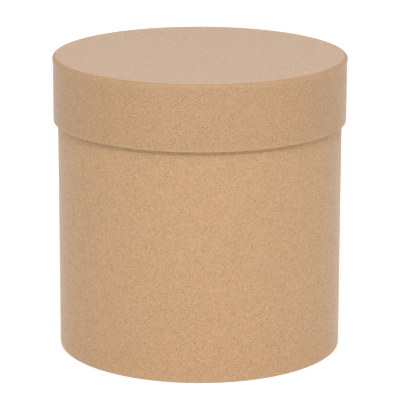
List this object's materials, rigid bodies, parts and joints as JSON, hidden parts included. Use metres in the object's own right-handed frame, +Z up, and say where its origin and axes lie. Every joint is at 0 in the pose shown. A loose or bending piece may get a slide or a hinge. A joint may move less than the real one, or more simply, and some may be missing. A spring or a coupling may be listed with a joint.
{
  "type": "flower box",
  "caption": "Round lidded flower box of kraft-covered greyboard, with a straight cylindrical body and a deep overhanging lift-off lid.",
  "frame": {"origin": "centre of the underside, on the plane the box stands on", "axes": "+Z up along the box's axis, through the lid; front faces -Y; the seams are at the back, towards +Y"},
  "size_m": [0.165, 0.165, 0.1674],
  "materials": {
    "kraft_paper": "matt unbleached kraft with a faint sheen",
    "greyboard": "dull recycled greyboard",
    "gummed_tape": "matt gummed paper tape"
  },
  "bodies": {
    "box": {"body_board": "greyboard", "body_joint_tape": "gummed_tape", "base_board": "greyboard", "body_wrap": "kraft_paper", "body_lining": "kraft_paper", "base_cover": "kraft_paper", "floor_lining": "kraft_paper"},
    "lid": {"lid_ring_board": "greyboard", "lid_joint_tape": "gummed_tape", "lid_top_board": "greyboard", "lid_wrap": "kraft_paper", "lid_lining": "kraft_paper", "lid_top_paper": "kraft_paper", "lid_ceiling_lining": "kraft_paper"}
  },
  "joints": [
    {"name": "lid_lift", "type": "slide", "parent": "box", "child": "lid", "axis": [0, 0, 1], "range_m": [0, 0.08]}
  ]
}
